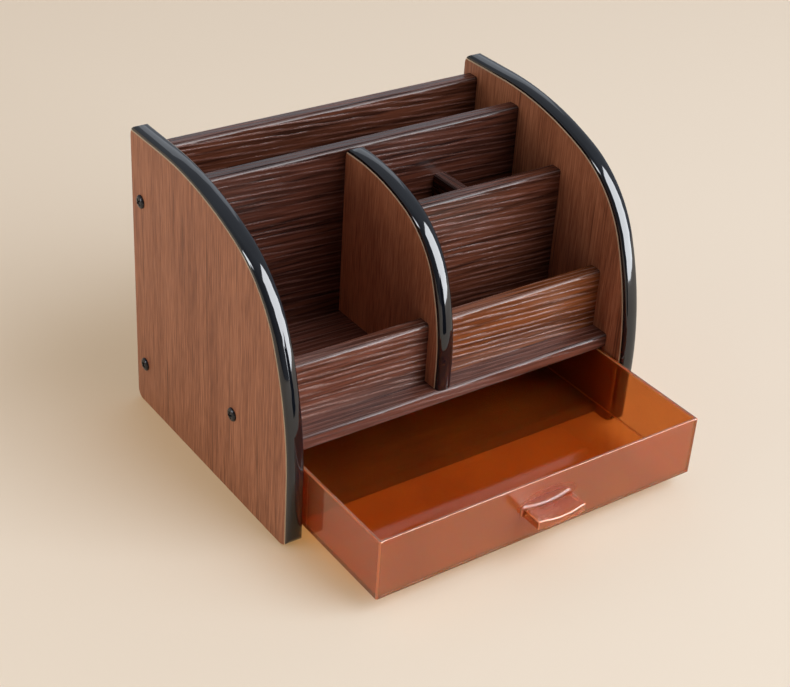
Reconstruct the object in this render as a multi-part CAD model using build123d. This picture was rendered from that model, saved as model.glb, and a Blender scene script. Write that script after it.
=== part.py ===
from build123d import *
from math import cos, radians, sin
import os

os.makedirs("parts", exist_ok=True)

# A desk organizer of 9 mm laminated board: two side panels with a curved front edge, a back panel,
# upright boards that stand on a shelf, and a moulded drawer that slides between the shelf and the base.
# Millimetres, +Z up, +X to the right seen from the front, front at -Y.
# The origin is on the table, midway between the side panels and midway along their depth.

# Boards
overall_width = 228.0
board_thickness = 9.0
panel_depth = 162.0
panel_height = 167.2
arris_radius = 2.0
tail_radius = 5.0

# Curved front edge of the side panels: a flat top, then shoulder, nose and shoulder arcs
side_top_flat = 34.5
side_shoulder_turn = 22.1
side_nose_radius = 70.7

# Edge trim: a domed cap whose stem is pressed into a slot in the board's edge.
# Heel and toe are its rounded ends, at the back of the top and at the front of the foot.
# A few flats stand for the round of the cap's corners.
trim_rise = 3.3
trim_side_height = 0.8
trim_corner_radius = 2.0
trim_corner_turn = 75.0
corner_flat_count = 4
trim_heel_radius = 7.0
trim_toe_radius = 10.0
trim_seat_gap = 0.1
stem_width = 2.0
stem_depth = 7.0
stem_clearance = 0.1
film_chamfer = 0.8

# Back panel, base and shelf
back_panel_inset = 4.0
back_panel_height = 159.5
shelf_depth = 136.2
drawer_bay_height = 37.0

# Upright boards, with their heights above the shelf
letter_slot_depth = 30.9
letter_panel_height = 101.5
rear_cell_depth = 32.8
inner_panel_height = 79.4
partition_height = 71.5
partition_centre = 51.8
rail_height = 35.2
rail_setback = 12.1
divider_centre = -8.7
divider_depth = 93.2
divider_height = 99.2
divider_top_flat = 8.1
divider_shoulder_turn = 20.7
divider_nose_radius = 53.0

# Drawer, moulded in one piece
drawer_side_gap = 1.9
drawer_lift = 0.3
drawer_headroom = 0.95
drawer_length = 143.0
drawer_back_gap = 0.5
drawer_opening = 71.5
drawer_wall = 2.0
drawer_floor = 2.2
drawer_corner_chamfer = 0.8
drawer_bottom_chamfer = 0.8
drawer_rim_chamfer = 0.5
face_rim_width = 2.0
face_recess = 0.3

# Pull on the drawer's face: a ledge, hollowed on top for the finger and pocketed below
pull_width = 31.0
pull_reach = 13.0
pull_bow = 0.8
pull_thickness = 5.2
pull_top_drop = 13.9
pull_side_rim = 1.6
pull_hollow_depth = 2.0
pull_hollow_rise = 0.7
pull_wall = 1.6
pull_arris = 0.5
pull_root_radius = 1.5

# Wooden dowels. Dowels and screw shanks are hidden, so six flats stand for their round.
rod_flat_count = 6
dowel_radius = 2.5
dowel_clearance = 0.05
dowel_short_end = 6.0
dowel_long_end = 9.0
dowel_glue_space = 0.5
dowel_margin = 20.0
divider_dowel_margin = 28.0

# Screws through the side panels
screw_head_radius = 3.8
screw_head_height = 1.7
screw_shank_radius = 1.75
screw_length = 28.0
screw_clearance = 0.05
back_screw_offset = 1.5
back_screw_heights = (26.3, 128.9)
shelf_screw_setback = 41.2

# How far a cutting solid runs past the face that it opens, and how near an edge counts as on a face
overrun = 1.0
near = 0.01

# Places that follow from the sizes above
outer_x = overall_width / 2
inner_x = outer_x - board_thickness
back_y = panel_depth / 2
back_panel_y = back_y - back_panel_inset - board_thickness
shelf_front_y = back_panel_y - shelf_depth
shelf_z = board_thickness + drawer_bay_height
shelf_top = shelf_z + board_thickness
letter_y = back_panel_y - letter_slot_depth - board_thickness
inner_panel_y = letter_y - rear_cell_depth - board_thickness
inner_panel_rear = inner_panel_y + board_thickness
rail_y = shelf_front_y + rail_setback
divider_left = divider_centre - board_thickness / 2
divider_right = divider_centre + board_thickness / 2
divider_front_y = letter_y - divider_depth

# Mid-planes of the boards, where dowels and screws enter them
base_mid_z = board_thickness / 2
shelf_mid_z = shelf_z + board_thickness / 2
back_panel_mid_y = back_panel_y + board_thickness / 2
letter_mid_y = letter_y + board_thickness / 2
inner_mid_y = inner_panel_y + board_thickness / 2
rail_mid_y = rail_y + board_thickness / 2

# The two curved boards, as the values that curved_line takes
side_edge = {
    "back": back_y,
    "foot": 0.0,
    "top": panel_height,
    "flat": side_top_flat,
    "reach": panel_depth - side_top_flat,
    "turn": side_shoulder_turn,
    "nose": side_nose_radius,
}
divider_edge = {
    "back": letter_y,
    "foot": shelf_top,
    "top": shelf_top + divider_height,
    "flat": divider_top_flat,
    "reach": divider_depth - divider_top_flat,
    "turn": divider_shoulder_turn,
    "nose": divider_nose_radius,
}
side_radii = {"heel": trim_heel_radius, "toe": trim_toe_radius, "tail": tail_radius}
divider_radii = {"heel": trim_heel_radius}

from_low_end = (Align.CENTER, Align.CENTER, Align.MIN)
from_low_corner = (Align.MIN, Align.MIN, Align.MIN)
down_from_top = (Align.CENTER, Align.MAX)


# Helpers

def block(x_range, y_range, z_range):
    # A box between two values on each axis
    size = [high - low for low, high in (x_range, y_range, z_range)]
    return Pos(x_range[0], y_range[0], z_range[0]) * Box(*size, align=from_low_corner)


def rod(axis, place, low, high, radius):
    # A bar along one axis between two values; place holds its other two coordinates in order
    if axis == "x":
        seat = Pos(low, *place) * Rot(0, 90, 0)
    elif axis == "y":
        seat = Pos(place[0], low, place[1]) * Rot(-90, 0, 0)
    else:
        seat = Pos(*place, low)
    return seat * extrude(RegularPolygon(radius, rod_flat_count, major_radius=False), high - low)


def spread(low, high, count, margin):
    # Even places between two ends, the outer ones a margin away from them
    step = (high - low - 2 * margin) / (count - 1)
    return [low + margin + step * index for index in range(count)]


# Dowels, each as its axis, its other two coordinates, and where it starts and ends

def dowels(joints):
    return [rod(*joint, dowel_radius) for joint in joints]


def bored(piece, joints):
    # The piece with its dowel holes, a little wider and longer than the dowels
    radius = dowel_radius + dowel_clearance
    for axis, place, low, high in joints:
        piece = piece - rod(axis, place, low - dowel_glue_space, high + dowel_glue_space, radius)
    return piece


letter_heights = spread(shelf_top, shelf_top + letter_panel_height, 2, dowel_margin)
inner_heights = spread(shelf_top, shelf_top + inner_panel_height, 2, dowel_margin)
rail_mid_z = shelf_top + rail_height / 2

# From the side panels into the boards that meet them
shared_places = [(letter_mid_y, z) for z in letter_heights]
shared_places += [(rail_mid_y, rail_mid_z)]
shared_places += [(y, base_mid_z) for y in spread(shelf_front_y, back_panel_y, 2, dowel_margin)]
shared_places += [(back_panel_y - dowel_margin, shelf_mid_z)]
right_only_places = [(inner_mid_y, z) for z in inner_heights]
left_side_joints = [
    ("x", place, -inner_x - dowel_short_end, -inner_x + dowel_long_end) for place in shared_places
]
right_side_joints = [
    ("x", place, inner_x - dowel_long_end, inner_x + dowel_short_end)
    for place in shared_places + right_only_places
]
side_joints = left_side_joints + right_side_joints

# Through the divider into both rails, and from the divider into the inner panel
divider_joints = [
    ("x", (rail_mid_y, rail_mid_z), divider_left - dowel_long_end, divider_right + dowel_long_end)
]
divider_joints += [
    ("x", (inner_mid_y, z), divider_right - dowel_short_end, divider_right + dowel_long_end)
    for z in inner_heights
]

# Up from the shelf into the boards that stand on it
standing_places = [(x, letter_mid_y) for x in spread(-inner_x, inner_x, 3, dowel_margin)]
standing_places += [(x, inner_mid_y) for x in spread(divider_right, inner_x, 2, dowel_margin)]
standing_places += [(x, rail_mid_y) for x in spread(-inner_x, divider_left, 2, dowel_margin)]
standing_places += [(x, rail_mid_y) for x in spread(divider_right, inner_x, 2, dowel_margin)]
standing_places += [(divider_centre, y) for y in spread(divider_front_y, letter_y, 2, divider_dowel_margin)]
standing_places += [(partition_centre, (inner_panel_rear + letter_y) / 2)]
shelf_joints = [
    ("z", place, shelf_top - dowel_short_end, shelf_top + dowel_long_end) for place in standing_places
]

# From front to back: divider and partition into the letter panel, inner panel into the partition
partition_mid_z = shelf_top + partition_height / 2
rear_places = [(divider_centre, z) for z in letter_heights] + [(partition_centre, partition_mid_z)]
cross_joints = [
    ("y", place, letter_y - dowel_long_end, letter_y + dowel_short_end) for place in rear_places
]
cross_joints += [
    (
        "y",
        (partition_centre, partition_mid_z),
        inner_panel_rear - dowel_short_end,
        inner_panel_rear + dowel_long_end,
    )
]
all_joints = side_joints + divider_joints + shelf_joints + cross_joints


# Screws, two into each end of the back panel and one into each end of the shelf

screw_places = [(back_panel_mid_y - back_screw_offset, z) for z in back_screw_heights]
screw_places += [(shelf_front_y + shelf_screw_setback, shelf_mid_z)]


def screw(place, side):
    # A wood screw whose head bears on the outer face of the side panel; side is -1 or 1
    seat = side * outer_x
    head_ends = sorted((seat, seat + side * screw_head_height))
    shank_ends = sorted((seat, seat - side * screw_length))
    head = Cylinder(screw_head_radius, screw_head_height, align=from_low_end)
    head = Pos(head_ends[0], *place) * Rot(0, 90, 0) * head
    return head + rod("x", place, *shank_ends, screw_shank_radius)


def drilled(piece):
    # The piece with its screw holes, from both sides
    radius = screw_shank_radius + screw_clearance
    depth = screw_length + dowel_glue_space
    for place in screw_places:
        piece = piece - rod("x", place, -outer_x - overrun, -outer_x + depth, radius)
        piece = piece - rod("x", place, outer_x - depth, outer_x + overrun, radius)
    return piece


# Straight boards

def across_board(x_low, x_high, y, z, height):
    # An upright board across the organizer, its top edges rounded over
    plain = block((x_low, x_high), (y, y + board_thickness), (z, z + height))
    return fillet(plain.edges().filter_by(Axis.X).group_by(Axis.Z)[-1], arris_radius)


def back_panel():
    return drilled(across_board(-inner_x, inner_x, back_panel_y, 0, back_panel_height))


def letter_panel():
    return bored(across_board(-inner_x, inner_x, letter_y, shelf_top, letter_panel_height), all_joints)


def inner_panel():
    return bored(
        across_board(divider_right, inner_x, inner_panel_y, shelf_top, inner_panel_height), all_joints
    )


def front_rail(x_low, x_high):
    return bored(across_board(x_low, x_high, rail_y, shelf_top, rail_height), all_joints)


def small_partition():
    left = partition_centre - board_thickness / 2
    plain = block(
        (left, left + board_thickness),
        (inner_panel_rear, letter_y),
        (shelf_top, shelf_top + partition_height),
    )
    rounded = fillet(plain.edges().filter_by(Axis.Y).group_by(Axis.Z)[-1], arris_radius)
    return bored(rounded, shelf_joints + cross_joints)


def shelf_board():
    plain = block((-inner_x, inner_x), (shelf_front_y, back_panel_y), (shelf_z, shelf_top))
    rounded = fillet(plain.edges().filter_by(Axis.X).group_by(Axis.Y)[0], arris_radius)
    return drilled(bored(rounded, side_joints + shelf_joints))


def base_board():
    plain = block((-inner_x, inner_x), (shelf_front_y, back_panel_y), (0, board_thickness))
    rounded = fillet(plain.edges().filter_by(Axis.X).group_by(Axis.Y)[0], arris_radius)
    return bored(rounded, side_joints)


# Curved boards and their trims

def curved_line(back, foot, top, flat, reach, turn, nose, outset=0.0, extra=0.0):
    # The edge line of a curved board, drawn flat with the board's depth along X and its height along Y.
    # The shoulder radius follows from the nose, the turn and the reach, so that all arcs meet smoothly.
    reach = reach + outset
    nose = nose + outset
    sine = sin(radians(turn))
    cosine = cos(radians(turn))
    shoulder = (reach - nose * (cosine - sine)) / (1 + sine - cosine)
    level = Line((back + extra, top + outset), (back - flat, top + outset))
    upper = JernArc(level @ 1, level % 1, shoulder, turn)
    middle = JernArc(upper @ 1, upper % 1, nose, 90 - 2 * turn)
    lower = JernArc(middle @ 1, middle % 1, shoulder, turn)
    upright = Line(lower @ 1, (back - flat - reach, foot - extra))
    return Wire([level, upper, middle, lower, upright])


def curved_profile(edge, outset=0.0):
    # The closed outline between the edge line and the board's back and foot
    line = curved_line(**edge, outset=outset)
    corner = (edge["back"], edge["foot"])
    return make_face(Wire([*line.edges(), Line(line @ 1, corner), Line(corner, line @ 0)]))


def across(profile, x_low):
    # A profile of depth and height, made one board thick from x_low on
    return extrude(Plane.YZ.offset(x_low) * profile, board_thickness, dir=(1, 0, 0))


def envelope(edge, x_low, radii):
    # The space that board and trim fill together, its outer corners rounded
    outline = curved_profile(edge, outset=trim_rise)
    corners = {
        "heel": (edge["back"], edge["top"] + trim_rise, 0),
        "toe": (edge["back"] - edge["flat"] - edge["reach"] - trim_rise, edge["foot"], 0),
        "tail": (edge["back"], edge["foot"], 0),
    }
    for name, radius in radii.items():
        nearest = outline.vertices().sort_by_distance(corners[name])[0]
        outline = fillet(nearest, radius)
    return across(outline, x_low)


def along_edge(edge, section, x_low):
    # A section swept along the edge line: its X is the board's thickness, its Y points outward
    path = Plane.YZ.offset(x_low + board_thickness / 2) * curved_line(**edge, extra=overrun)
    start = Plane(path @ 0, x_dir=(1, 0, 0), z_dir=path % 0)
    return sweep(start * section, path=path)


def curved_board(edge, x_low, radii):
    # A board whose film stops short of its curved edge, slotted for the trim's stem
    plain = across(curved_profile(edge), x_low)
    film_edges = [
        one
        for one in plain.edges().filter_by(Axis.X, reverse=True)
        if (one @ 0.5).Y < edge["back"] - overrun and (one @ 0.5).Z > edge["foot"] + overrun
    ]
    rounded = chamfer(film_edges, film_chamfer) & envelope(edge, x_low, radii)
    slot_width = stem_width + 2 * stem_clearance
    slot_depth = stem_depth + 2 * stem_clearance
    slot = Pos(0, overrun) * Rectangle(slot_width, slot_depth + overrun, align=down_from_top)
    return bored(rounded - along_edge(edge, slot, x_low), all_joints)


def edge_trim(edge, x_low, radii):
    # Its section has low upright sides, round corners and a slightly domed top
    half = board_thickness / 2
    corner_centre = half - trim_corner_radius
    right_corner = [
        (
            corner_centre + trim_corner_radius * cos(radians(angle)),
            trim_side_height + trim_corner_radius * sin(radians(angle)),
        )
        for angle in spread(0, trim_corner_turn, corner_flat_count + 1, 0)
    ]
    left_corner = [(-x, height) for x, height in reversed(right_corner)]
    dome = ThreePointArc(right_corner[-1], (0, trim_rise), left_corner[0])
    seat = [(-half, trim_seat_gap), (half, trim_seat_gap)]
    sides = Polyline(*left_corner, *seat, *right_corner)
    cap = make_face(Wire([dome, *sides.edges()]))
    stem = Rectangle(stem_width, stem_depth + 2 * trim_seat_gap, align=down_from_top)
    section = cap + Pos(0, 2 * trim_seat_gap) * stem
    return along_edge(edge, section, x_low) & envelope(edge, x_low, radii)


# The drawer

drawer_half_width = inner_x - drawer_side_gap
drawer_z = board_thickness + drawer_lift
drawer_height = drawer_bay_height - drawer_lift - drawer_headroom
drawer_rear_y = back_panel_y - drawer_back_gap - drawer_opening
drawer_front_y = drawer_rear_y - drawer_length
face_y = drawer_front_y + face_recess
pull_top_z = drawer_z + drawer_height - pull_top_drop


def drawer_box():
    # An open box with eased corners, its face recessed inside a thin rim on three sides
    place = Pos(0, (drawer_front_y + drawer_rear_y) / 2, drawer_z)
    outline = Rectangle(2 * drawer_half_width, drawer_length)
    outline = chamfer(outline.vertices(), drawer_corner_chamfer)
    box = extrude(place * outline, drawer_height)
    box = chamfer(box.edges().group_by(Axis.Z)[0], drawer_bottom_chamfer)
    inner_width = 2 * (drawer_half_width - drawer_wall)
    inner_length = drawer_length - 2 * drawer_wall
    inner_outline = Rectangle(inner_width, inner_length)
    inner_outline = chamfer(inner_outline.vertices(), drawer_corner_chamfer)
    hollow = extrude(place * Pos(0, 0, drawer_floor) * inner_outline, drawer_height)
    hollow = chamfer(hollow.edges().group_by(Axis.Z)[0], drawer_bottom_chamfer)
    box = box - hollow
    box = chamfer(box.edges().group_by(Axis.Z)[-1], drawer_rim_chamfer)
    face_half = drawer_half_width - face_rim_width
    recess = block(
        (-face_half, face_half),
        (drawer_front_y - overrun, face_y),
        (drawer_z + face_rim_width, drawer_z + drawer_height + overrun),
    )
    return box - recess


def pull_outline(inset=0.0):
    # Seen from above: straight sides and a front that bows out a little
    half = pull_width / 2 - inset
    tip_y = drawer_front_y - pull_reach + inset
    return make_face(
        Wire(
            [
                ThreePointArc((-half, tip_y), (0, tip_y - pull_bow), (half, tip_y)),
                *Polyline((half, tip_y), (half, face_y - inset), (-half, face_y - inset), (-half, tip_y)).edges(),
            ]
        )
    )


def drawer_pull():
    # The hollow on top is a shallow trough that climbs towards the lip
    slab = extrude(Pos(0, 0, pull_top_z - pull_thickness) * pull_outline(), pull_thickness)
    trough_half = pull_width / 2 - pull_side_rim
    trough_radius = (trough_half**2 + pull_hollow_depth**2) / (2 * pull_hollow_depth)
    trough_place = Plane(
        (0, face_y, pull_top_z - pull_hollow_depth + trough_radius),
        x_dir=(1, 0, 0),
        z_dir=(0, -pull_reach, pull_hollow_rise),
    )
    lead = trough_radius * pull_hollow_rise / pull_reach + overrun
    trough_length = pull_reach + pull_bow + face_recess + lead + overrun
    trough = Pos(0, 0, -lead) * Cylinder(trough_radius, trough_length, align=from_low_end)
    slab = slab - trough_place * trough
    slab = chamfer(slab.edges().filter_by(lambda one: (one @ 0.5).Y < face_y - overrun), pull_arris)
    pocket_depth = pull_thickness - pull_hollow_depth - pull_wall
    pocket = Pos(0, 0, pull_top_z - pull_thickness) * pull_outline(pull_wall)
    return slab - extrude(pocket, pocket_depth)


def drawer_tray():
    box = drawer_box()
    tray = box + drawer_pull()
    half = pull_width / 2 + pull_root_radius
    root = [
        one
        for one in tray.edges()
        if abs((one @ 0.5).Y - face_y) < near
        and abs((one @ 0.5).X) < half
        and pull_top_z - pull_thickness - near < (one @ 0.5).Z < pull_top_z + near
    ]
    return fillet(root, pull_root_radius)


# Every piece by its name

pieces = {
    "left_side_panel": drilled(curved_board(side_edge, -outer_x, side_radii)),
    "right_side_panel": drilled(curved_board(side_edge, inner_x, side_radii)),
    "left_edge_trim": edge_trim(side_edge, -outer_x, side_radii),
    "right_edge_trim": edge_trim(side_edge, inner_x, side_radii),
    "centre_divider": curved_board(divider_edge, divider_left, divider_radii),
    "centre_divider_trim": edge_trim(divider_edge, divider_left, divider_radii),
    "back_panel": back_panel(),
    "letter_panel": letter_panel(),
    "inner_panel": inner_panel(),
    "small_partition": small_partition(),
    "left_front_rail": front_rail(-inner_x, divider_left),
    "right_front_rail": front_rail(divider_right, inner_x),
    "shelf_board": shelf_board(),
    "base_board": base_board(),
    "drawer_tray": drawer_tray(),
    "side_screws": Compound([screw(place, side) for side in (-1, 1) for place in screw_places]),
    "side_dowels": Compound(dowels(side_joints)),
    "divider_dowels": Compound(dowels(divider_joints)),
    "shelf_dowels": Compound(dowels(shelf_joints)),
    "cross_dowels": Compound(dowels(cross_joints)),
}

for name, piece in pieces.items():
    export_step(piece, f"parts/{name}.step")
    print(name, round(piece.volume), "mm3")
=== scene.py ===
import math
import bpy
import bmesh
from mathutils import Matrix, Vector


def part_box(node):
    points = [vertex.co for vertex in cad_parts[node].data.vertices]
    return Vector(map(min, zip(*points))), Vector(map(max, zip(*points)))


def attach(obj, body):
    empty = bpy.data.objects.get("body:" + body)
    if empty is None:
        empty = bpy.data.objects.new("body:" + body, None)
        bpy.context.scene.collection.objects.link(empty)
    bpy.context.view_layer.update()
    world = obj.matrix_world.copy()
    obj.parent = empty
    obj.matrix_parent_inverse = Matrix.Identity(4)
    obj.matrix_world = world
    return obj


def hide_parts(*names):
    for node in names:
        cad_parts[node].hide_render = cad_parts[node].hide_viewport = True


# Desk organizer with drawer: laminated boards, black edge trims and an amber drawer.
# Metres, in the frame of the CAD model: +X right, +Z up, front at -Y.

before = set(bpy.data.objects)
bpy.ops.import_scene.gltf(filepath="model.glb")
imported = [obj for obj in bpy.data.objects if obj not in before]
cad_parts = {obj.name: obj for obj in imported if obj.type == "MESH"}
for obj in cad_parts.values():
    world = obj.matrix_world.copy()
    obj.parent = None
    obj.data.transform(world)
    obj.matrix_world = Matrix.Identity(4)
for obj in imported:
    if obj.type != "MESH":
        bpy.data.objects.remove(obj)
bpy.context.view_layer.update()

# place in metres, two directions, focal length and sensor width in millimetres
camera = {
    "place": (-0.4525, -0.6181, 0.5208),
    "right": (0.8218, -0.5670, 0.0571),
    "ahead": (0.5067, 0.6813, -0.5283),
    "focal": 72.77,
    "sensor": 36.0,
}

print("camera")
cameraData = bpy.data.cameras.new("photoCamera")
cameraData.lens = camera["focal"]
cameraData.sensor_width = camera["sensor"]
cameraObject = bpy.data.objects.new("photoCamera", cameraData)
bpy.context.scene.collection.objects.link(cameraObject)
ahead = Vector(camera["ahead"]).normalized()
right = Vector(camera["right"])
right = (right - right.dot(ahead) * ahead).normalized()
upward = right.cross(ahead)
turn = Matrix((right, upward, -ahead)).transposed()
cameraObject.matrix_world = Matrix.Translation(camera["place"]) @ turn.to_4x4()
bpy.context.scene.camera = cameraObject
bpy.context.scene.view_settings.view_transform = "Standard"


# Small helpers for node trees

def newMaterial(name):
    material = bpy.data.materials.new(name)
    material.use_nodes = True
    tree = material.node_tree
    shader = tree.nodes["Principled BSDF"]
    return material, tree, shader


def addNode(tree, kind, **values):
    node = tree.nodes.new(kind)
    for name, value in values.items():
        setattr(node, name, value)
    return node


def stretched(tree, scale, turnedBy=(0, 0, 0)):
    # object coordinates, scaled per axis
    coordinates = addNode(tree, "ShaderNodeTexCoord")
    mapping = addNode(tree, "ShaderNodeMapping")
    mapping.inputs["Scale"].default_value = scale
    mapping.inputs["Rotation"].default_value = turnedBy
    tree.links.new(coordinates.outputs["Object"], mapping.inputs["Vector"])
    return mapping.outputs["Vector"]


def noise(tree, vector, scale=1.0, detail=2.0, roughness=0.5, distortion=0.0):
    node = addNode(tree, "ShaderNodeTexNoise")
    node.inputs["Scale"].default_value = scale
    node.inputs["Detail"].default_value = detail
    node.inputs["Roughness"].default_value = roughness
    node.inputs["Distortion"].default_value = distortion
    tree.links.new(vector, node.inputs["Vector"])
    return node.outputs["Fac"]


def ramp(tree, value, stops):
    node = addNode(tree, "ShaderNodeValToRGB")
    elements = node.color_ramp.elements
    while len(elements) < len(stops):
        elements.new(0.5)
    for element, (position, colour) in zip(elements, stops):
        element.position = position
        element.color = (*colour, 1.0)
    tree.links.new(value, node.inputs["Fac"])
    return node.outputs["Color"]


def levels(tree, value, low, high, newLow=0.0, newHigh=1.0):
    node = addNode(tree, "ShaderNodeMapRange")
    node.inputs["From Min"].default_value = low
    node.inputs["From Max"].default_value = high
    node.inputs["To Min"].default_value = newLow
    node.inputs["To Max"].default_value = newHigh
    tree.links.new(value, node.inputs["Value"])
    return node.outputs["Result"]


def blendColours(tree, factor, first, second, mode="MIX"):
    node = addNode(tree, "ShaderNodeMix", data_type="RGBA", blend_type=mode)
    for socket, value in ((node.inputs[0], factor), (node.inputs[6], first), (node.inputs[7], second)):
        if isinstance(value, (float, int)):
            socket.default_value = value
        elif isinstance(value, tuple):
            socket.default_value = (*value, 1.0)
        else:
            tree.links.new(value, socket)
    return node.outputs[2]


def arithmetic(tree, operation, first, second):
    node = addNode(tree, "ShaderNodeMath", operation=operation)
    for socket, value in ((node.inputs[0], first), (node.inputs[1], second)):
        if isinstance(value, (float, int)):
            socket.default_value = value
        else:
            tree.links.new(value, socket)
    return node.outputs[0]


def bumped(tree, shader, height, strength, distance):
    node = addNode(tree, "ShaderNodeBump")
    node.inputs["Strength"].default_value = strength
    node.inputs["Distance"].default_value = distance
    tree.links.new(height, node.inputs["Height"])
    tree.links.new(node.outputs["Normal"], shader.inputs["Normal"])


def squareness(tree):
    # 1 on faces square to an axis, less where an arris turns
    geometry = addNode(tree, "ShaderNodeNewGeometry")
    parts = addNode(tree, "ShaderNodeSeparateXYZ")
    tree.links.new(geometry.outputs["Normal"], parts.inputs[0])
    sizes = [arithmetic(tree, "ABSOLUTE", parts.outputs[index], 0.0) for index in range(3)]
    return arithmetic(tree, "MAXIMUM", arithmetic(tree, "MAXIMUM", sizes[0], sizes[1]), sizes[2])


def nearness(tree, middle, reach, inner):
    # 1 inside an ellipsoid about a point, fading to 0 at its reach
    vector = stretched(tree, [1 / size for size in reach])
    shifted = addNode(tree, "ShaderNodeVectorMath", operation="SUBTRACT")
    tree.links.new(vector, shifted.inputs[0])
    shifted.inputs[1].default_value = [place / size for place, size in zip(middle, reach)]
    distance = addNode(tree, "ShaderNodeVectorMath", operation="LENGTH")
    tree.links.new(shifted.outputs["Vector"], distance.inputs[0])
    return levels(tree, distance.outputs["Value"], 1.0, inner)


sideFilm = {
    "dark": (0.215, 0.068, 0.031),
    "middle": (0.370, 0.132, 0.062),
    "light": (0.485, 0.192, 0.096),
    "pore": (0.130, 0.040, 0.018),
    "core": (0.68, 0.50, 0.33),
    "roughness": 0.40,
    "shine": 0.25,
    # scale per axis, turn about X, detail, roughness
    "fineNoise": ((1900, 1900, 50), 0.03, 2, 0.75),
    "broadNoise": ((70, 70, 4), 0.0, 3, 0.5),
    "lineNoise": ((900, 900, 10), -0.04, 1, 0.5),
    "lineBend": 0.2,
    "fineShare": 0.75,
    "stops": (0.38, 0.5, 0.62),
    "poreRange": (0.63, 0.74),
    "poreShare": 0.75,
    # the bare core shows where a face is turned this far from the film's own direction
    "bareRange": (0.45, 0.9),
    "relief": (0.15, 0.0003),
}


def makeSideFilm():
    # red-brown film with a fine upright grain, and the pale core where the film stops
    material, tree, shader = newMaterial("sideFilm")

    def turnedNoise(label, bend=0.0):
        scale, turned, detail, roughness = sideFilm[label]
        return noise(tree, stretched(tree, scale, (turned, 0, 0)), 1.0, detail, roughness, bend)

    fine = arithmetic(tree, "MULTIPLY", turnedNoise("fineNoise"), sideFilm["fineShare"])
    broad = arithmetic(tree, "MULTIPLY", turnedNoise("broadNoise"), 1 - sideFilm["fineShare"])
    grain = arithmetic(tree, "ADD", fine, broad)
    tones = (sideFilm["dark"], sideFilm["middle"], sideFilm["light"])
    film = ramp(tree, grain, tuple(zip(sideFilm["stops"], tones)))
    pores = levels(tree, turnedNoise("lineNoise", sideFilm["lineBend"]), *sideFilm["poreRange"])
    pores = arithmetic(tree, "MULTIPLY", pores, sideFilm["poreShare"])
    film = blendColours(tree, pores, film, sideFilm["pore"])
    geometry = addNode(tree, "ShaderNodeNewGeometry")
    direction = addNode(tree, "ShaderNodeSeparateXYZ")
    tree.links.new(geometry.outputs["True Normal"], direction.inputs[0])
    slant = arithmetic(tree, "ABSOLUTE", direction.outputs[0], 0.0)
    least, most = sideFilm["bareRange"]
    turned = arithmetic(tree, "GREATER_THAN", slant, least)
    bare = arithmetic(tree, "MULTIPLY", turned, arithmetic(tree, "LESS_THAN", slant, most))
    tree.links.new(blendColours(tree, bare, film, sideFilm["core"]), shader.inputs["Base Color"])
    shader.inputs["Roughness"].default_value = sideFilm["roughness"]
    shader.inputs["Specular IOR Level"].default_value = sideFilm["shine"]
    bumped(tree, shader, grain, *sideFilm["relief"])
    return material


boardFilm = {
    "roughness": 0.24,
    "arrisRoughness": 0.7,
    "lineRoughness": 0.05,
    # how dark an arris is painted: painted shade, so that its thin glossy line stands out
    "arrisPaintedShade": 0.45,
    # squareness at which the arris begins and ends, and of the thin line on it
    "arrisRange": (0.90, 0.99),
    "lineRise": (0.83, 0.86),
    "lineFall": (0.965, 0.945),
    "spacing": 0.0034,
    "distortion": 3.6,
    "waveAlong": 0.07,
    # detail, its scale and its roughness
    "waveDetail": (3.0, 1.0, 0.6),
    # scale along and across the grain, detail, roughness
    "crumb": (420, 2600, 2, 0.7),
    "presence": (20, 240, 2, 0.6),
    "tone": (14, 420, 3, 0.6),
    "toneStops": (0.36, 0.62),
    "crestRange": (0.50, 1.0),
    "presenceLevels": (0.34, 0.56, 0.3, 1.0),
    "crumbLevels": (0.3, 0.65, 0.5, 1.0),
    "ridgeGlintLevels": (0.2, 0.9, 0.0, 0.8),
    "bumpStrength": 0.9,
    # dark and warm ground, colour of the ridges (mostly a painted glint), their height in metres, shine; the
    # looks are lit and shaded copies of one film, painted lighter, warmer or darker for how light falls on
    # each board
    "lit": ((0.028, 0.0080, 0.0038), (0.100, 0.029, 0.014), (0.165, 0.066, 0.046), 0.00021, 0.3),
    "shaded": ((0.018, 0.0052, 0.0030), (0.068, 0.019, 0.010), (0.110, 0.042, 0.030), 0.00015, 0.28),
    "litShelf": ((0.045, 0.014, 0.0085), (0.120, 0.040, 0.025), (0.17, 0.075, 0.055), 0.00018, 0.35),
    "litLeftRail": ((0.050, 0.016, 0.009), (0.130, 0.043, 0.025), (0.26, 0.140, 0.105), 0.00024, 0.4),
    "litRightRail": ((0.070, 0.018, 0.006), (0.190, 0.052, 0.014), (0.26, 0.130, 0.090), 0.00026, 0.4),
}


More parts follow.
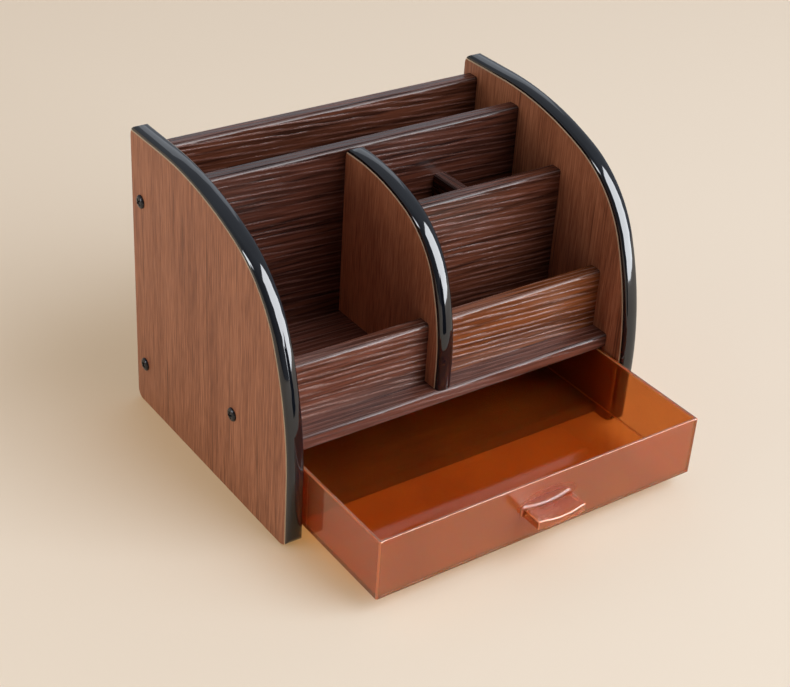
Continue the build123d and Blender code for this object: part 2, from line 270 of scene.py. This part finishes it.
def makeBoardFilm(name, along, look):
    # dark film with long embossed ridges along one axis, glossy enough for them to catch the light; the
    # ridges are also painted paler, a painted glint
    material, tree, shader = newMaterial(name)
    dark, warm, paintedRidgeGlint, relief, shine = boardFilm[look]

    def scaled(slow, fast):
        values = [fast, fast, fast]
        values["XYZ".index(along)] = slow
        return stretched(tree, values)

    def grainNoise(label):
        slow, fast, detail, roughness = boardFilm[label]
        return noise(tree, scaled(slow, fast), detail=detail, roughness=roughness)

    wave = addNode(tree, "ShaderNodeTexWave", wave_type="BANDS", bands_direction="DIAGONAL")
    wave.inputs["Scale"].default_value = 2 * math.pi / 10 / boardFilm["spacing"]
    wave.inputs["Distortion"].default_value = boardFilm["distortion"]
    for socket, value in zip(("Detail", "Detail Scale", "Detail Roughness"), boardFilm["waveDetail"]):
        wave.inputs[socket].default_value = value
    tree.links.new(scaled(boardFilm["waveAlong"], 1.0), wave.inputs["Vector"])
    film = ramp(tree, grainNoise("tone"), tuple(zip(boardFilm["toneStops"], (dark, warm))))
    crest = levels(tree, wave.outputs["Fac"], *boardFilm["crestRange"])
    for label in ("presence", "crumb"):
        share = levels(tree, grainNoise(label), *boardFilm[label + "Levels"])
        crest = arithmetic(tree, "MULTIPLY", crest, share)
    # the ridges painted paler: mostly a painted glint where the film's ridges catch the light
    film = blendColours(tree, levels(tree, crest, *boardFilm["ridgeGlintLevels"]), film, paintedRidgeGlint)
    shader.inputs["Specular IOR Level"].default_value = shine
    # an arris is painted darker, a painted shade that makes its thin glossy line stand out, and is matt with
    # that line; the ridges fade on it
    square = squareness(tree)
    flat = levels(tree, square, *boardFilm["arrisRange"])
    wearAndShade = blendColours(tree, 1.0, film, (boardFilm["arrisPaintedShade"],) * 3, "MULTIPLY")
    tree.links.new(blendColours(tree, flat, wearAndShade, film), shader.inputs["Base Color"])
    rise, fall = (levels(tree, square, *boardFilm[label]) for label in ("lineRise", "lineFall"))
    line = arithmetic(tree, "MULTIPLY", rise, fall)
    dull = levels(tree, flat, 0.0, 1.0, boardFilm["arrisRoughness"], boardFilm["roughness"])
    shiny = arithmetic(tree, "MULTIPLY", line, boardFilm["arrisRoughness"] - boardFilm["lineRoughness"])
    tree.links.new(arithmetic(tree, "SUBTRACT", dull, shiny), shader.inputs["Roughness"])
    bumped(tree, shader, arithmetic(tree, "MULTIPLY", crest, flat), boardFilm["bumpStrength"], relief)
    return material


trimPlastic = {
    "colour": (0.003, 0.0035, 0.005),
    "paler": 1.6,
    "cloudScale": 60,
    "stops": (0.3, 0.7),
    "roughness": 0.05,
    "index": 1.6,
    "waveScale": 70,
    "wave": (0.04, 0.001),
}


def makeTrimPlastic():
    # glossy black plastic, a little wavy along its length
    material, tree, shader = newMaterial("trimPlastic")
    plain = stretched(tree, (1, 1, 1))
    cloud = noise(tree, plain, scale=trimPlastic["cloudScale"])
    paler = tuple(part * trimPlastic["paler"] for part in trimPlastic["colour"])
    colour = ramp(tree, cloud, tuple(zip(trimPlastic["stops"], (trimPlastic["colour"], paler))))
    tree.links.new(colour, shader.inputs["Base Color"])
    shader.inputs["Roughness"].default_value = trimPlastic["roughness"]
    shader.inputs["IOR"].default_value = trimPlastic["index"]
    bumped(tree, shader, noise(tree, plain, scale=trimPlastic["waveScale"], detail=1), *trimPlastic["wave"])
    return material


amber = {
    "colour": (0.66, 0.182, 0.030),
    "deep": (0.57, 0.145, 0.026),
    # paler outer colour: partly the plastic's haze, partly a painted reflection of the bright floor and a
    # painted glow of the walls lit from inside
    "outer": (0.74, 0.290, 0.105),
    # rims and corners painted paler: a painted highlight on the rounded edges, which are also less clear
    "edge": (0.78, 0.30, 0.12),
    "thick": (0.55, 0.110, 0.018),
    "clear": 0.88,
    "outerClear": 0.83,
    "edgeClear": 0.45,
    "roughness": 0.07,
    "rootRoughness": 0.45,
    "index": 1.55,
    "cloudScale": 25,
    "stops": (0.35, 0.65),
    "scatter": 0.003,
    "scatterReach": (1.0, 0.4, 0.15),
    "thickShare": 0.75,
    # how far the outer colour, with its painted reflection, reaches in from the drawer's box
    "skin": 0.0012,
    "beforeFace": 0.0003,
    # squareness at which a rim or corner begins and ends, where the painted highlight goes
    "turnRange": (0.80, 0.95),
    # the thick root of the pull on the drawer's face, and the hollow where the two meet:
    # middle, reach, and the share of the reach that is fully inside
    "root": ((0, -0.1467, 0.0315), (0.0222, 0.017, 0.0080), 0.4),
    "hollow": ((0, -0.1472, 0.0312), (0.0190, 0.0030, 0.0040), 0.7),
}


def outside(tree, face, high, depth):
    # 1 on the drawer's sides, rim, and front from its face on; 0 further in than the depth
    coordinates = addNode(tree, "ShaderNodeTexCoord")
    parts = addNode(tree, "ShaderNodeSeparateXYZ")
    tree.links.new(coordinates.outputs["Object"], parts.inputs[0])
    x, y, z = parts.outputs
    side = arithmetic(tree, "GREATER_THAN", arithmetic(tree, "ABSOLUTE", x, 0.0), high[0] - depth)
    front = arithmetic(tree, "LESS_THAN", y, face + depth)
    rim = arithmetic(tree, "GREATER_THAN", z, high[2] - depth)
    return arithmetic(tree, "MAXIMUM", arithmetic(tree, "MAXIMUM", side, front), rim)


def makeAmber():
    # translucent moulded plastic, cloudier outside and deeper in colour where it is thick; its outer colour
    # is paler, partly its haze and partly a painted reflection of the bright floor and a painted glow, and
    # its rims and corners are painted paler still as a painted highlight
    material, tree, shader = newMaterial("amberPlastic")
    cloud = noise(tree, stretched(tree, (1, 1, 1)), scale=amber["cloudScale"])
    _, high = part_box("drawer_tray")
    face = amber["root"][0][1] - amber["beforeFace"]
    outer = outside(tree, face, high, amber["skin"])
    body = ramp(tree, cloud, tuple(zip(amber["stops"], (amber["deep"], amber["colour"]))))
    body = blendColours(tree, outer, body, amber["outer"])
    thick = nearness(tree, *amber["root"])
    body = blendColours(tree, arithmetic(tree, "MULTIPLY", thick, amber["thickShare"]), body, amber["thick"])
    flat = levels(tree, squareness(tree), *amber["turnRange"])
    paintedEdgeHighlight = arithmetic(tree, "MULTIPLY", arithmetic(tree, "SUBTRACT", 1.0, flat), outer)
    hollow = nearness(tree, *amber["hollow"])
    paintedEdgeHighlight = arithmetic(tree, "MULTIPLY", paintedEdgeHighlight, arithmetic(tree, "SUBTRACT", 1.0, hollow))
    # rims and corners painted paler: a painted highlight, kept out of the hollow at the pull's root
    tree.links.new(blendColours(tree, paintedEdgeHighlight, body, amber["edge"]), shader.inputs["Base Color"])
    roughness = levels(tree, hollow, 0.0, 1.0, amber["roughness"], amber["rootRoughness"])
    tree.links.new(roughness, shader.inputs["Roughness"])
    shader.inputs["IOR"].default_value = amber["index"]
    clear = levels(tree, outer, 0.0, 1.0, amber["clear"], amber["outerClear"])
    cloudy = arithmetic(tree, "MULTIPLY", paintedEdgeHighlight, amber["outerClear"] - amber["edgeClear"])
    tree.links.new(arithmetic(tree, "SUBTRACT", clear, cloudy), shader.inputs["Transmission Weight"])
    shader.inputs["Subsurface Weight"].default_value = 1.0
    shader.inputs["Subsurface Radius"].default_value = amber["scatterReach"]
    shader.inputs["Subsurface Scale"].default_value = amber["scatter"]
    return material


screwSteel = {
    "colour": (0.012, 0.012, 0.014),
    # on the screws this colour is rubbed wear only
    "wearAndShade": (0.05, 0.05, 0.055),
    "wornScale": 1500,
    "stops": (0.45, 0.8),
    "metallic": 0.3,
    "roughness": 0.22,
}


def makeScrewSteel():
    # blackened steel, rubbed a little
    material, tree, shader = newMaterial("screwSteel")
    rubbed = noise(tree, stretched(tree, (1, 1, 1)), scale=screwSteel["wornScale"])
    colour = ramp(tree, rubbed, tuple(zip(screwSteel["stops"], (screwSteel["colour"], screwSteel["wearAndShade"]))))
    tree.links.new(colour, shader.inputs["Base Color"])
    shader.inputs["Metallic"].default_value = screwSteel["metallic"]
    shader.inputs["Roughness"].default_value = screwSteel["roughness"]
    return material


dowelWood = {
    "dark": (0.42, 0.27, 0.14),
    "light": (0.62, 0.43, 0.25),
    "grainScale": 900,
    "stops": (0.35, 0.65),
    "roughness": 0.7,
}


def makeDowelWood():
    # plain beech
    material, tree, shader = newMaterial("dowelWood")
    grain = noise(tree, stretched(tree, (1, 1, 1)), scale=dowelWood["grainScale"])
    colour = ramp(tree, grain, tuple(zip(dowelWood["stops"], (dowelWood["dark"], dowelWood["light"]))))
    tree.links.new(colour, shader.inputs["Base Color"])
    shader.inputs["Roughness"].default_value = dowelWood["roughness"]
    return material


print("materials")
finishes = {
    "left_side_panel": makeSideFilm(),
    "left_edge_trim": makeTrimPlastic(),
    "drawer_tray": makeAmber(),
    "side_screws": makeScrewSteel(),
    "side_dowels": makeDowelWood(),
}
for name in ("right_side_panel", "centre_divider"):
    finishes[name] = finishes["left_side_panel"]
for name in ("right_edge_trim", "centre_divider_trim"):
    finishes[name] = finishes["left_edge_trim"]
for name in ("divider_dowels", "shelf_dowels", "cross_dowels"):
    finishes[name] = finishes["side_dowels"]
# the boards share one film; these are lit and shaded copies of it: the letter panel and partition take
# painted shade, the shelf and rails are painted lighter for the light on them, and the right rail warmer for
# the orange light bounced from the drawer
finishes["back_panel"] = finishes["inner_panel"] = makeBoardFilm("litUprightFilm", "X", "lit")
finishes["letter_panel"] = makeBoardFilm("shadedLetterFilm", "X", "shaded")
finishes["small_partition"] = makeBoardFilm("shadedPartitionFilm", "Y", "shaded")
finishes["shelf_board"] = finishes["base_board"] = makeBoardFilm("litShelfFilm", "X", "litShelf")
finishes["left_front_rail"] = makeBoardFilm("litLeftRailFilm", "X", "litLeftRail")
finishes["right_front_rail"] = makeBoardFilm("litRightRailFilm", "X", "litRightRail")

for name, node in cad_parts.items():
    node.data.materials.clear()
    node.data.materials.append(finishes[name])


# Boards, trims and drawer get a merged copy whose arrises shade softly

# the steepest angle in degrees over which a surface still shades as one
softAngle = {"boards": 32, "trims": 40, "drawer": 40, "screws": 35}
mergeDistance = 2e-6


def mergedCopy(name):
    form = bmesh.new()
    form.from_mesh(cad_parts[name].data)
    bmesh.ops.remove_doubles(form, verts=form.verts, dist=mergeDistance)
    bmesh.ops.dissolve_degenerate(form, edges=form.edges, dist=mergeDistance / 20)
    return form


def smoothed(form, degrees):
    for face in form.faces:
        face.smooth = True
    for edge in form.edges:
        edge.smooth = len(edge.link_faces) == 2 and edge.calc_face_angle(math.pi) < math.radians(degrees)


def dressed(form, label, name, body):
    # a new piece that stands for one CAD node and moves with its body
    mesh = bpy.data.meshes.new(label)
    form.to_mesh(mesh)
    form.free()
    mesh.materials.append(finishes[name])
    piece = bpy.data.objects.new(label, mesh)
    bpy.context.scene.collection.objects.link(piece)
    evened = piece.modifiers.new("evened", "WEIGHTED_NORMAL")
    evened.keep_sharp = True
    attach(piece, body)
    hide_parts(name)


print("boards, trims and drawer")
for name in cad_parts:
    if name.endswith("_dowels") or name == "side_screws":
        continue
    kind = "drawer" if name == "drawer_tray" else "trims" if name.endswith("_trim") else "boards"
    copied = mergedCopy(name)
    smoothed(copied, softAngle[kind])
    dressed(copied, name + "Soft", name, "drawer" if kind == "drawer" else "carcass")


screwHead = {
    "segments": 36,
    "rimShare": 0.3,
    "domePower": 2.6,
    "recessDepth": 0.0011,
    "slotHalf": 0.00042,
    "slotReach": 0.0021,
    "slotRise": 0.5,
    # a vertex this far outside the panel belongs to a head
    "clearOfPanel": 0.0002,
    # how far each cross is turned, in degrees
    "turns": (20, 65, 40, 10, 50, 80),
}


def domedHead(form, radius, height, turned, seat):
    # a square grid drawn into a disc, domed, with a cross pressed into the middle
    count = screwHead["segments"]
    made = bmesh.ops.create_grid(form, x_segments=count, y_segments=count, size=1.0)
    skirt = height * screwHead["rimShare"]
    for vertex in made["verts"]:
        across, up = vertex.co.x, vertex.co.y
        x = radius * across * math.sqrt(1 - up * up / 2)
        y = radius * up * math.sqrt(1 - across * across / 2)
        share = min(1.0, math.hypot(x, y) / radius)
        level = skirt + (height - skirt) * math.sqrt(max(0.0, 1 - share ** screwHead["domePower"]))
        near, far = sorted((abs(x), abs(y)))
        if near < screwHead["slotHalf"] and far < screwHead["slotReach"]:
            level -= screwHead["recessDepth"] * (1 - screwHead["slotRise"] * far / screwHead["slotReach"])
        vertex.co = (x, y, level)
    rim = list({edge for vertex in made["verts"] for edge in vertex.link_edges if edge.is_boundary})
    skirted = bmesh.ops.extrude_edge_only(form, edges=rim)
    lowered = [part for part in skirted["geom"] if isinstance(part, bmesh.types.BMVert)]
    for vertex in lowered:
        vertex.co.z = 0.0
    side = 1 if seat.x > 0 else -1
    upended = Matrix.Rotation(side * math.pi / 2, 4, "Y") @ Matrix.Rotation(turned, 4, "Z")
    place = Matrix.Translation(seat) @ upended
    bmesh.ops.transform(form, matrix=place, verts=made["verts"] + lowered)


def islands(form):
    # the separate shells of a mesh, each as a set of vertices
    left = set(form.verts)
    while left:
        island, todo = set(), [left.pop()]
        while todo:
            vertex = todo.pop()
            island.add(vertex)
            for edge in vertex.link_edges:
                other = edge.other_vert(vertex)
                if other in left:
                    left.discard(other)
                    todo.append(other)
        yield island


print("screws")
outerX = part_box("right_side_panel")[1][0]
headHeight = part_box("side_screws")[1][0] - outerX
form = mergedCopy("side_screws")
heads = []
for island in islands(form):
    head = [vertex for vertex in island if abs(vertex.co.x) > outerX + screwHead["clearOfPanel"]]
    middle = sum((vertex.co for vertex in head), Vector()) / len(head)
    radius = max(math.hypot(vertex.co.y - middle.y, vertex.co.z - middle.z) for vertex in head)
    heads.append((math.copysign(outerX, middle.x), middle.y, middle.z, radius))
plainHeads = [vertex for vertex in form.verts if abs(vertex.co.x) > outerX + screwHead["clearOfPanel"]]
bmesh.ops.delete(form, geom=plainHeads, context="VERTS")
for (x, y, z, radius), turned in zip(sorted(heads), screwHead["turns"]):
    domedHead(form, radius, headHeight, math.radians(turned), Vector((x, y, z)))
bmesh.ops.recalc_face_normals(form, faces=form.faces)
smoothed(form, softAngle["screws"])
dressed(form, "panHeadScrews", "side_screws", "carcass")


# Floor, lamps and surroundings

studio = {
    "floor": (0.54, 0.51, 0.46),
    "floorSeen": (0.25, 0.145, 0.045),
    "floorSize": 6.0,
    "bright": (0.40, 0.43, 0.48),
    "dim": (0.12, 0.12, 0.13),
    "seen": (0.90, 0.89, 0.87),
    "dimToward": (-0.70, -0.65, 0.30),
    # how squarely a direction points that way where the room begins and ends to dim
    "dimRange": (0.25, 0.95),
    "aimedAt": (0, -0.05, 0.1),
    "panelTint": (0.93, 0.96, 1.0),
}
# directions in degrees: azimuth from the front toward +X, height above the table
lamps = {
    "softbox": {
        "azimuth": 33, "height": 31, "distance": 2.2, "size": (1.95, 2.7),
        "radiance": 5.0, "tint": (0.95, 1.0, 1.07), "gloss": False,
    },
    "window": {
        "azimuth": 149, "height": 32, "distance": 2.0, "size": (1.6, 0.9),
        "radiance": 0.75, "tint": (0.94, 1.0, 1.08), "gloss": True,
    },
    "leftFill": {
        "azimuth": -100, "height": 12, "distance": 1.4, "size": (1.2, 0.6),
        "radiance": 2.8, "tint": (1.0, 0.92, 0.80), "gloss": False,
    },
}
# panels that only gloss can see: the softbox, a strip at the left,
# and a dark flag low in front of the softbox
panels = {
    "softboxPanel": {
        "azimuth": 33, "height": 29, "distance": 1.2, "radiance": 12.0,
        "outline": ((-0.52, 0.90), (0.34, 0.86), (0.52, 0.55), (0.58, -0.74), (-0.60, -0.74), (-0.60, 0.10)),
    },
    "stripPanel": {
        "azimuth": -103, "height": 15, "distance": 1.2, "radiance": 12.0,
        "outline": ((0.30, 0.60), (0.42, 0.60), (-0.28, -0.42), (-0.42, -0.42)),
    },
    "flagPanel": {
        "azimuth": 6.3, "height": 0, "distance": 0.326, "radiance": 0.0,
        "outline": (
            (-0.075, -0.10), (0.065, -0.10), (0.055, 0.02), (0.015, 0.13), (-0.02, 0.05), (-0.06, 0.06),
        ),
    },
}


def makeFloor():
    # seen, mirrored or looked at through the drawer, the floor is paler than the light it passes on
    form = bmesh.new()
    bmesh.ops.create_grid(form, x_segments=1, y_segments=1, size=studio["floorSize"] / 2)
    mesh = bpy.data.meshes.new("floor")
    form.to_mesh(mesh)
    form.free()
    floor = bpy.data.objects.new("floor", mesh)
    bpy.context.scene.collection.objects.link(floor)
    material, tree, shader = newMaterial("floor")
    shader.inputs["Base Color"].default_value = (*studio["floor"], 1.0)
    shader.inputs["Specular IOR Level"].default_value = 0.0
    shader.inputs["Emission Color"].default_value = (*studio["floorSeen"], 1.0)
    path = addNode(tree, "ShaderNodeLightPath")
    mirrored = arithmetic(tree, "MAXIMUM", path.outputs["Is Glossy Ray"], path.outputs["Is Transmission Ray"])
    looked = arithmetic(tree, "MAXIMUM", path.outputs["Is Camera Ray"], mirrored)
    tree.links.new(looked, shader.inputs["Emission Strength"])
    mesh.materials.append(material)


def makeSurroundings():
    # a pale room that is dim on one side, so that gloss has something dark to mirror
    world = bpy.data.worlds.new("surroundings")
    world.use_nodes = True
    tree = world.node_tree
    background = tree.nodes["Background"]
    coordinates = addNode(tree, "ShaderNodeTexCoord")
    toward = addNode(tree, "ShaderNodeVectorMath", operation="DOT_PRODUCT")
    toward.inputs[1].default_value = Vector(studio["dimToward"]).normalized()
    tree.links.new(coordinates.outputs["Generated"], toward.inputs[0])
    dimming = levels(tree, toward.outputs["Value"], *studio["dimRange"])
    room = ramp(tree, dimming, ((0.0, studio["bright"]), (1.0, studio["dim"])))
    path = addNode(tree, "ShaderNodeLightPath")
    seen = blendColours(tree, path.outputs["Is Camera Ray"], room, studio["seen"])
    tree.links.new(seen, background.inputs["Color"])
    background.inputs["Strength"].default_value = 1.0
    bpy.context.scene.world = world


def aimed(values):
    # where a lamp or panel stands, turned so that its back is away from the object
    turn, rise = math.radians(values["azimuth"]), math.radians(values["height"])
    away = Vector((math.cos(rise) * math.sin(turn), -math.cos(rise) * math.cos(turn), math.sin(rise)))
    aside = Vector((math.cos(turn), math.sin(turn), 0))
    upright = away.cross(aside)
    place = Vector(studio["aimedAt"]) + away * values["distance"]
    return Matrix.Translation(place) @ Matrix((aside, upright, aside.cross(upright))).transposed().to_4x4()


def makeLamp(name, values):
    data = bpy.data.lights.new(name, "AREA")
    data.shape = "RECTANGLE"
    data.size, data.size_y = values["size"]
    data.energy = values["radiance"] * math.pi * data.size * data.size_y
    data.color = values["tint"]
    lamp = bpy.data.objects.new(name, data)
    bpy.context.scene.collection.objects.link(lamp)
    lamp.matrix_world = aimed(values)
    lamp.visible_glossy = values["gloss"]


def makePanel(name, values):
    form = bmesh.new()
    corners = [form.verts.new((across, up, 0)) for across, up in values["outline"]]
    form.faces.new(corners)
    bmesh.ops.transform(form, matrix=aimed(values), verts=form.verts)
    mesh = bpy.data.meshes.new(name)
    form.to_mesh(mesh)
    form.free()
    material, tree, shader = newMaterial(name)
    shader.inputs["Base Color"].default_value = (0, 0, 0, 1)
    shader.inputs["Specular IOR Level"].default_value = 0.0
    shader.inputs["Emission Color"].default_value = (*studio["panelTint"], 1.0)
    shader.inputs["Emission Strength"].default_value = values["radiance"]
    mesh.materials.append(material)
    panel = bpy.data.objects.new(name, mesh)
    bpy.context.scene.collection.objects.link(panel)
    panel.visible_camera = False
    panel.visible_diffuse = False
    panel.visible_transmission = False
    panel.visible_shadow = False


print("stage")
makeFloor()
makeSurroundings()
for name, values in lamps.items():
    makeLamp(name, values)
for name, values in panels.items():
    makePanel(name, values)
